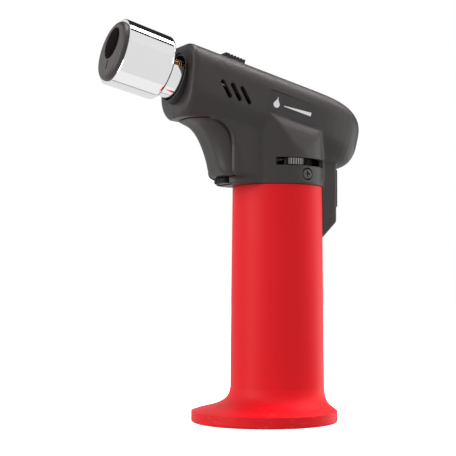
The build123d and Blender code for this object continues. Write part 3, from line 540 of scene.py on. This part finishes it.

# %% [markdown]
# ## Springs
# A coil spring rests in the body with one end and is pressed by a moving piece with the other.
# Its CAD solid cannot shorten. Each spring is copied here, its doubled points are merged, and the copy takes
# the place of the hidden CAD spring.

# %% Spring copies
springs = {}
for node, moving, along in (
    ("trigger_springs", "trigger", "x"),
    ("valve_spring", "outlet_stem", "z"),
    ("fill_valve_spring", "fill_stem", "z"),
):
    coil = twin(frame["nodes"][node], node.replace("spring", "coil"))
    bpy.ops.object.parent_clear(type="CLEAR_KEEP_TRANSFORM")
    choose(coil, "VERT", lambda c, n: True)
    bpy.ops.mesh.remove_doubles(threshold=0.001 * MM)
    done()
    low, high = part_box(node)
    held, pressed = high.copy(), high.copy()
    setattr(pressed, along, getattr(low, along))
    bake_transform(coil)
    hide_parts(node)
    springs[node] = coil
print("springs", [coil.name for coil in springs.values()])

# %% [markdown]
# ## Finishes
# Every finish is built from noise in the piece's own space. Shader sums are written as plain
# arithmetic: a Value stands for one output in the node tree, and adding or multiplying two of
# them adds the matching node.

# %% Shader arithmetic
class Value:
    """One output of a node tree that can be added, multiplied and mixed."""

    def __init__(self, tree, output):
        self.tree = tree
        self.output = output

    def node(self, kind, settings=None, **inputs):
        """Adds any node: its settings first, then its inputs, by name, as values or links."""
        node = self.tree.nodes.new(kind)
        for key, value in (settings or {}).items():
            setattr(node, key, value)
        for key, value in inputs.items():
            socket = node.inputs[int(key[1:])] if key[0] == "_" else node.inputs[key.replace("_", " ")]
            if isinstance(value, Value):
                self.tree.links.new(value.output, socket)
            else:
                socket.default_value = value
        return node

    def made(self, node, output=0):
        """The value that a node gives."""
        return Value(self.tree, node.outputs[output])

    def maths(self, operation, a, b=0.0, clamp=False):
        """Result of one maths node."""
        node = self.node("ShaderNodeMath", {"operation": operation, "use_clamp": clamp}, _0=a, _1=b)
        return self.made(node)

    def __add__(self, other):
        return self.maths("ADD", self, other)

    def __radd__(self, other):
        return self.maths("ADD", other, self)

    def __sub__(self, other):
        return self.maths("SUBTRACT", self, other)

    def __rsub__(self, other):
        return self.maths("SUBTRACT", other, self)

    def __mul__(self, other):
        return self.maths("MULTIPLY", self, other)

    def __rmul__(self, other):
        return self.maths("MULTIPLY", other, self)

    def above(self, level, softness):
        """Rises from 0 to 1 as the value passes a level."""
        return self.maths("MULTIPLY", self - level, 1 / softness, clamp=True)

    def noise(self, scale, detail=3.0, stretch=None):
        """Noise in this vector's space, from 0 to 1; scale counts waves in a metre."""
        vector = self
        if stretch:
            vector = self.made(self.node("ShaderNodeMapping", Vector=self, Scale=stretch))
        node = self.node("ShaderNodeTexNoise", Vector=vector, Scale=scale, Detail=detail, Roughness=0.55)
        return self.made(node)

    def part(self, axis):
        """One of the three parts of a vector."""
        node = self.node("ShaderNodeSeparateXYZ", Vector=self)
        return self.made(node, "XYZ".index(axis))

    def between(self, low, high):
        """Mixes two colours by this value."""
        node = self.node("ShaderNodeMix", {"data_type": "RGBA"}, _0=self, _6=low, _7=high)
        return self.made(node, 2)


def colour(r, g, b):
    """Opaque colour."""
    return (r, g, b, 1.0)


def shaded(shade, factor):
    """A colour made darker or lighter."""
    return tuple(min(1.0, part * factor) for part in shade[:3]) + (1.0,)


def new_finish(name):
    """Empty finish: its shader node and the piece's own space as a Value."""
    material = bpy.data.materials.new(name)
    material.use_nodes = True
    tree = material.node_tree
    shader = tree.nodes["Principled BSDF"]
    places = tree.nodes.new("ShaderNodeTexCoord")
    return material, shader, Value(tree, places.outputs["Object"])


def put(shader, name, value):
    """Sets or links one input of the shader."""
    if isinstance(value, Value):
        value.tree.links.new(value.output, shader.inputs[name])
    else:
        shader.inputs[name].default_value = value


def roughen(shader, space, height, depth, distance):
    """Bump from a height value."""
    bump = space.node("ShaderNodeBump", Height=height, Strength=depth, Distance=distance)
    put(shader, "Normal", space.made(bump))


# %% [markdown]
# Moulded plastic has a very fine spark-eroded grain, slow drifts of sheen, and a few pale rubs
# where hands and bench have worn it.

# %% Moulded plastics
def moulded(name, shade, rough, grain, wear=0.25, spread=0.10, specular=0.5):
    """Plastic of one colour with grain, drifts of sheen and rubs."""
    material, shader, space = new_finish(name)
    drift = space.noise(38.0, 2.0)
    fine = space.noise(2600.0, 2.0)
    rubbed = space.noise(120.0, 5.0, (1.0, 1.0, 0.45)).above(0.66, 0.14) * wear
    body = (drift * 0.7 + fine * 0.3).between(shaded(shade, 1 - spread), shaded(shade, 1 + spread))
    put(shader, "Base Color", rubbed.between(body, shaded(shade, 1.5)))
    put(shader, "Roughness", rough - 0.05 + drift * 0.1 + rubbed * 0.1)
    put(shader, "Specular IOR Level", specular)
    roughen(shader, space, fine + rubbed * 0.4, grain, 0.00006)
    return material


# %% [markdown]
# The red handle is a satin moulding. Its foot gathers faint scuffs where it is set down.

# %% Handle red
def handle_finish():
    """Satin red that is scuffed only near the floor."""
    material, shader, space = new_finish("handle_red")
    drift = space.noise(30.0, 2.0)
    fine = space.noise(2200.0, 2.0)
    low = 1.0 - space.part("Z").above(0.001, 0.012)
    scuffed = space.noise(260.0, 4.0, (1.0, 1.0, 3.0)).above(0.55, 0.1) * low * 0.35
    red = colour(0.76, 0.005, 0.011)
    body = (drift * 0.6 + fine * 0.4).between(shaded(red, 0.94), shaded(red, 1.06))
    put(shader, "Base Color", scuffed.between(body, colour(0.75, 0.09, 0.07)))
    put(shader, "Roughness", 0.46 + drift * 0.08 + scuffed * 0.3)
    put(shader, "Specular IOR Level", 0.22)
    roughen(shader, space, fine + scuffed, 0.12, 0.00005)
    return material


# %% [markdown]
# Bare metals differ by colour and by how they were worked: plated and polished, turned with fine
# rings, or drawn wire. Handling leaves faint smears that dull them a little.

# %% Metals
def metal(name, shade, rough, stretch, grain, smear=0.08):
    """Bare metal whose fine lines run along the axis with the smallest stretch."""
    material, shader, space = new_finish(name)
    drift = space.noise(60.0, 3.0)
    lines = space.noise(900.0, 2.0, stretch)
    hazy = drift.above(0.55, 0.2) * smear
    body = (lines * 0.5 + drift * 0.5).between(shaded(shade, 0.93), shaded(shade, 1.04))
    put(shader, "Base Color", body)
    put(shader, "Metallic", 1.0)
    put(shader, "Roughness", rough + hazy + lines * 0.02)
    roughen(shader, space, lines, grain, 0.00003)
    return material


# %% [markdown]
# The dark plug in the barrel is a heat-proof coat: brownish, satin, and a touch sooty round the
# flame's outlet.

# %% Burner plug
def plug_finish():
    """Dark heat-proof coat with soot."""
    material, shader, space = new_finish("insert_dark")
    drift = space.noise(90.0, 3.0)
    fine = space.noise(1800.0, 3.0)
    soot = space.noise(240.0, 4.0).above(0.5, 0.2) * 0.5
    body = (drift * 0.5 + fine * 0.5).between(colour(0.030, 0.023, 0.022), colour(0.056, 0.044, 0.042))
    put(shader, "Base Color", soot.between(body, colour(0.035, 0.030, 0.030)))
    put(shader, "Roughness", 0.36 + drift * 0.12 + soot * 0.1)
    put(shader, "Metallic", 0.15)
    roughen(shader, space, fine, 0.18, 0.00006)
    return material


# %% [markdown]
# The adjuster's tab is black like the other controls. The crests of its ribs get a painted highlight, a pale
# grey colour, and they are a little less rough where thumbs polish them.

# %% Ribbed tab and pale ink
def ribbed_finish():
    """Black plastic with a painted highlight: pale grey where a point lies far out from the handle's axis."""
    material, shader, space = new_finish("ribbed_control")
    fine = space.noise(1500.0, 3.0)
    flattened = space.node("ShaderNodeVectorMath", {"operation": "MULTIPLY"}, _0=space, _1=(1.0, 1.0, 0.0))
    length = space.node("ShaderNodeVectorMath", {"operation": "LENGTH"}, _0=space.made(flattened))
    reach = space.made(length, 1)
    # Painted highlight: the rib crests are coloured pale grey; only their lower roughness is real polish.
    crest_polish_and_highlight = reach.above(0.01945, 0.00018) * (0.7 + fine * 0.5)
    body = crest_polish_and_highlight.between(colour(0.012, 0.012, 0.012), colour(0.30, 0.29, 0.28))
    put(shader, "Base Color", body)
    put(shader, "Roughness", 0.45 - crest_polish_and_highlight * 0.12)
    roughen(shader, space, fine, 0.1, 0.00004)
    return material


# %% [markdown]
# The table of finishes. Its keys are the slots that the frame's record gives to the pieces.

# %% All finishes
finishes = {
    "ribbed_control": ribbed_finish(),
    "pale_ink": moulded("pale_ink", colour(0.80, 0.80, 0.79), 0.5, 0.05, wear=0.15, spread=0.03),
    # Painted shade: the burner tube's steel is coloured near black so the outlet hole reads dark inside; heat
    # also darkens a real tube, but less.
    "burnt_steel": metal("burnt_steel", colour(0.05, 0.046, 0.044), 0.5, (3.0, 3.0, 1.0), 0.1),
    "handle_red": handle_finish(),
    "shell_black": moulded("shell_black", colour(0.037, 0.030, 0.030), 0.42, 0.16, specular=0.36),
    "control_black": moulded("control_black", colour(0.014, 0.013, 0.013), 0.42, 0.12, specular=0.35),
    "label_dark": moulded("label_dark", colour(0.034, 0.030, 0.030), 0.40, 0.08, wear=0.1, specular=0.35),
    "insert_dark": plug_finish(),
    "plated_chrome": metal("plated_chrome", colour(0.90, 0.90, 0.91), 0.045, (1.0, 6.0, 6.0), 0.01, 0.03),
    "brass": metal("brass", colour(0.62, 0.44, 0.20), 0.24, (6.0, 1.0, 1.0), 0.1),
    "steel": metal("steel", colour(0.55, 0.55, 0.56), 0.28, (3.0, 3.0, 1.0), 0.1),
    "screw_black": metal("screw_black", colour(0.11, 0.11, 0.112), 0.26, (1.0, 1.0, 1.0), 0.1),
    "tank_plastic": moulded("tank_plastic", colour(0.62, 0.62, 0.56), 0.35, 0.05, wear=0.0, spread=0.05),
    "cap_plastic": moulded("cap_plastic", colour(0.10, 0.10, 0.11), 0.45, 0.1, wear=0.1),
    "seal_rubber": moulded("seal_rubber", colour(0.02, 0.02, 0.02), 0.7, 0.1, wear=0.1),
    "tube_soft": moulded("tube_soft", colour(0.25, 0.25, 0.23), 0.5, 0.08, wear=0.05),
    "lead_red": moulded("lead_red", colour(0.40, 0.03, 0.025), 0.5, 0.08, wear=0.05),
    "ceramic_white": moulded("ceramic_white", colour(0.80, 0.79, 0.74), 0.4, 0.06, wear=0.05, spread=0.04),
}


# %% [markdown]
# Each piece of the frame takes the finish of its slot, and the new pieces take theirs by name.

# %% Dressing the pieces
def finish_with(obj, slot_name):
    """Gives the whole piece one finish."""
    obj.data.materials.clear()
    obj.data.materials.append(finishes[slot_name])


for row in record["subparts"]:
    finish_with(frame["nodes"][row["node"]], row["material_slot"])
finish_with(frame["nodes"]["gas_adjuster"], "ribbed_control")
finish_with(mark, "pale_ink")
for half in halves.values():
    finish_with(half, "shell_black")
for coil in springs.values():
    finish_with(coil, "steel")
print("finishes", len(finishes))

# %% [markdown]
# ## Studio
# A pale floor under the torch, broad soft lights to both sides and above, and little light from
# the camera's side. The floor glows faintly, so its far part stays as pale as its near part.

# %% Floor
scene = bpy.context.scene
bpy.ops.mesh.primitive_plane_add(size=6, location=(0, 0, 0))
floor = bpy.context.object
floor.name = "floor"
paper, paper_shader, paper_space = new_finish("paper")
fibre = paper_space.noise(20.0)
put(paper_shader, "Base Color", fibre.between(colour(0.93, 0.93, 0.93), colour(0.95, 0.95, 0.95)))
put(paper_shader, "Roughness", 0.85)
put(paper_shader, "Emission Color", colour(1, 1, 1))
put(paper_shader, "Emission Strength", 0.95)
floor.data.materials.append(paper)
floor.visible_glossy = False
floor.visible_diffuse = False


# %% [markdown]
# Three large soft lamps. The two at the sides draw the handle's pale edges. The one above is kept
# out of mirrors, because a card takes its place there.

# %% Lamps
def lamp(name, place, target, width, height, watts):
    """Rectangular soft light aimed at a point."""
    light = bpy.data.lights.new(name, "AREA")
    light.shape = "RECTANGLE"
    light.size = width
    light.size_y = height
    light.energy = watts
    obj = bpy.data.objects.new(name, light)
    obj.location = place
    obj.rotation_euler = (Vector(target) - Vector(place)).to_track_quat("-Z", "Y").to_euler()
    scene.collection.objects.link(obj)
    return obj


AIM = (0, 0, 0.09)
lamp("light_left", (-0.80, 0.05, 0.25), AIM, 0.5, 0.9, 4.4)
lamp("light_right", (0.62, 0.10, 0.25), AIM, 0.5, 0.9, 2.3)
top_light = lamp("light_top", (0.40, -0.02, 0.78), AIM, 0.62, 0.62, 11.0)
top_light.visible_glossy = False

# %% [markdown]
# A polished barrel shows its surroundings, so a studio hangs black and white cards round it. They
# are placed by the law of the mirror: for a strip of the barrel at some angle from its upper
# outline, the seen ray is turned about the surface's normal, and the card goes where it ends.

# %% Law of the mirror
CAMERA_AZIMUTH = radians(-30.46)
CAMERA_DISTANCE = 0.5
CAMERA_Z = 0.0555
CAMERA_PLACE = Vector((CAMERA_DISTANCE * sin(CAMERA_AZIMUTH), -CAMERA_DISTANCE * cos(CAMERA_AZIMUTH), CAMERA_Z))
barrel_low, barrel_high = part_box("flame_guard")
barrel = (barrel_low + barrel_high) / 2
axis = Vector((-cos(HEAD_TILT), 0, sin(HEAD_TILT)))
upwards = Vector((sin(HEAD_TILT), 0, cos(HEAD_TILT)))
look = (barrel - CAMERA_PLACE).normalized()
across = look - look.dot(axis) * axis


def mirrored(angle):
    """Where the barrel's strip this many degrees below its upper outline looks."""
    slant = Vector((across.dot(upwards), across.y))
    top_normal = (upwards * -slant.y + Vector((0, 1, 0)) * slant.x) * -1
    top_normal = top_normal if top_normal.z > 0 else -top_normal
    front_normal = -across.normalized()
    normal = (top_normal.normalized() * cos(radians(angle)) + front_normal * sin(radians(angle))).normalized()
    return (look - 2 * look.dot(normal) * normal).normalized()


# %% [markdown]
# Each card is one even grey. Only mirrors see it: it throws no shadow and no light on the torch.

# %% Cards
CARD_LENGTH = 1.2


def flag(name, first, last, glow, reach=0.5):
    """Card that fills the mirrored view between two angles with one grey; only mirrors see it."""
    a = mirrored(first) * reach
    b = mirrored(last) * reach
    bpy.ops.mesh.primitive_plane_add(size=1)
    card = bpy.context.object
    card.name = name
    middle = (a + b) / 2
    up = (b - a).normalized()
    side = up.cross(middle).normalized()
    turn = Matrix((side, up, side.cross(up))).transposed().to_4x4()
    stretched = Matrix.Diagonal((CARD_LENGTH, (b - a).length, 1, 1))
    card.matrix_world = Matrix.Translation(barrel + middle) @ turn @ stretched
    coat, coat_shader, coat_space = new_finish(name)
    grain = coat_space.noise(3.0)
    put(coat_shader, "Base Color", grain.between(colour(0.003, 0.003, 0.003), colour(0.005, 0.005, 0.005)))
    put(coat_shader, "Emission Color", colour(glow, glow, glow))
    put(coat_shader, "Emission Strength", 1.0)
    put(coat_shader, "Roughness", 0.9)
    coat.cycles.emission_sampling = "NONE"
    card.data.materials.append(coat)
    card.visible_camera = False
    card.visible_diffuse = False
    card.visible_shadow = False
    print(name, round(card.dimensions.y, 2))


flag("card_top", 18.0, 61.0, 9.0, 0.8)
flag("flag_wide", 3.0, 30.0, 0.0)
flag("card_body", 40.5, 62.0, 0.82)
flag("flag_fine", 37.0, 42.0, 0.0, 0.48)
flag("card_low", 117.0, 141.0, 0.93)
flag("flag_low", 141.0, 144.0, 0.42)
flag("card_edge", 144.0, 168.0, 0.80)

# %% [markdown]
# The world is a plain white room. It is brightest to the camera, so the background stays white,
# a little dimmer to mirrors, and dimmest as the light that fills the shadows.

# %% World
world = bpy.data.worlds.new("studio")
world.use_nodes = True
scene.world = world
rays = world.node_tree.nodes.new("ShaderNodeLightPath")
seen = Value(world.node_tree, rays.outputs["Is Camera Ray"])
mirror = Value(world.node_tree, rays.outputs["Is Glossy Ray"])
put(world.node_tree.nodes["Background"], "Color", colour(1, 1, 1))
put(world.node_tree.nodes["Background"], "Strength", seen * 0.40 + mirror * 0.21 + 0.60)
scene.view_settings.view_transform = "Standard"

# %% [markdown]
# The camera stands at bench height in front and to the left, and looks slightly upwards.

# %% Camera
TURN = radians(2.39)
PITCH = radians(2.95)
ROLL = radians(-0.11)
camera = bpy.data.objects.new("camera", bpy.data.cameras.new("camera"))
scene.collection.objects.link(camera)
camera.data.sensor_width = 36
camera.data.lens = 92.85
camera.location = CAMERA_PLACE
camera.rotation_euler = (radians(90) + PITCH, ROLL, CAMERA_AZIMUTH + TURN)
scene.camera = camera
print("camera", [round(v, 3) for v in camera.location])
